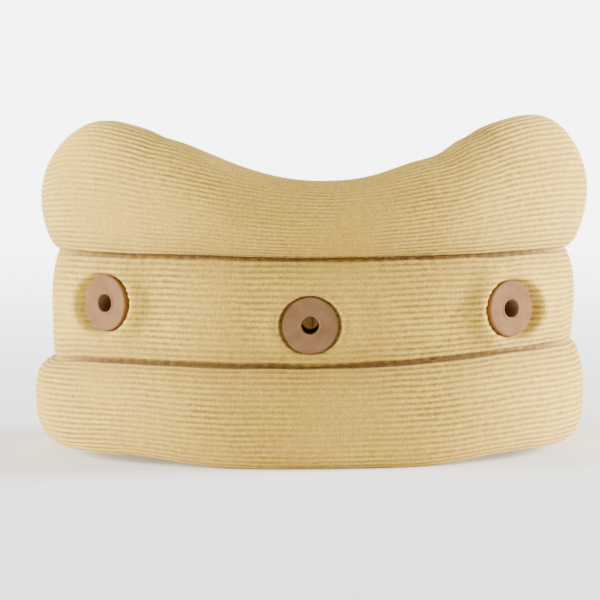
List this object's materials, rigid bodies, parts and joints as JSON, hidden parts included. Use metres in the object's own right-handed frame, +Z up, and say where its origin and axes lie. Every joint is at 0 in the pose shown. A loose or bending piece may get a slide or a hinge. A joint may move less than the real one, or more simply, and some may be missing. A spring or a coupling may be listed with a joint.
{
  "type": "cervical collar",
  "caption": "Soft foam neck collar in a ribbed knit sleeve with a stitched middle band, vent eyelets, a stiffening plate and a hook-and-loop closure at the nape.",
  "frame": {"origin": "centre of the closed collar's plan, on the surface it stands on", "axes": "+Z up along the wearer's neck, the wearer's chin towards -Y, the closure at the nape towards +Y, +X towards the right side as seen from the front"},
  "size_m": [0.166, 0.1408, 0.1008],
  "materials": {
    "knit": "ribbed",
    "foam": "open cell",
    "plate": "matte",
    "eyelet": "satin",
    "thread": "twisted",
    "binding": "woven",
    "strap": "woven",
    "hook": "hooked pile",
    "loop": "brushed pile"
  },
  "bodies": {
    "front": {"knit_sleeve_front": "knit", "foam_core_front": "foam", "support_plate": "plate", "eyelet_left": "eyelet", "eyelet_centre": "eyelet", "eyelet_right": "eyelet", "eyelet_washer_left": "eyelet", "eyelet_washer_centre": "eyelet", "eyelet_washer_right": "eyelet", "upper_seam_thread_front": "thread", "lower_seam_thread_front": "thread"},
    "left_wing": {"knit_sleeve_left": "knit", "foam_core_left": "foam", "upper_seam_thread_left": "thread", "lower_seam_thread_left": "thread", "end_binding_left": "binding", "strap_anchor": "strap", "anchor_stitching": "thread"},
    "right_wing": {"knit_sleeve_right": "knit", "foam_core_right": "foam", "upper_seam_thread_right": "thread", "lower_seam_thread_right": "thread", "end_binding_right": "binding", "loop_strip": "loop", "loop_stitching": "thread"},
    "closure_tab": {"tab_strap": "strap", "hook_patch": "hook", "hook_stitching": "thread"}
  },
  "joints": [
    {"name": "left_wing_flex", "type": "hinge", "parent": "front", "child": "left_wing", "pos_m": [-0.07984, 0.02228, 0.05], "axis": [0, 0, 1], "range_deg": [0, 50], "stiffness_Nm_per_rad": 0.1},
    {"name": "right_wing_flex", "type": "hinge", "parent": "front", "child": "right_wing", "pos_m": [0.07984, 0.02228, 0.05], "axis": [0, 0, 1], "range_deg": [-50, 0], "stiffness_Nm_per_rad": 0.1},
    {"name": "tab_peel", "type": "hinge", "parent": "left_wing", "child": "closure_tab", "pos_m": [-0.01754, 0.06773, 0.045], "axis": [0, 0, 1], "range_deg": [0, 120]}
  ],
  "couplings": [
    {"joint": "right_wing_flex", "follows": "left_wing_flex", "ratio": -1}
  ]
}
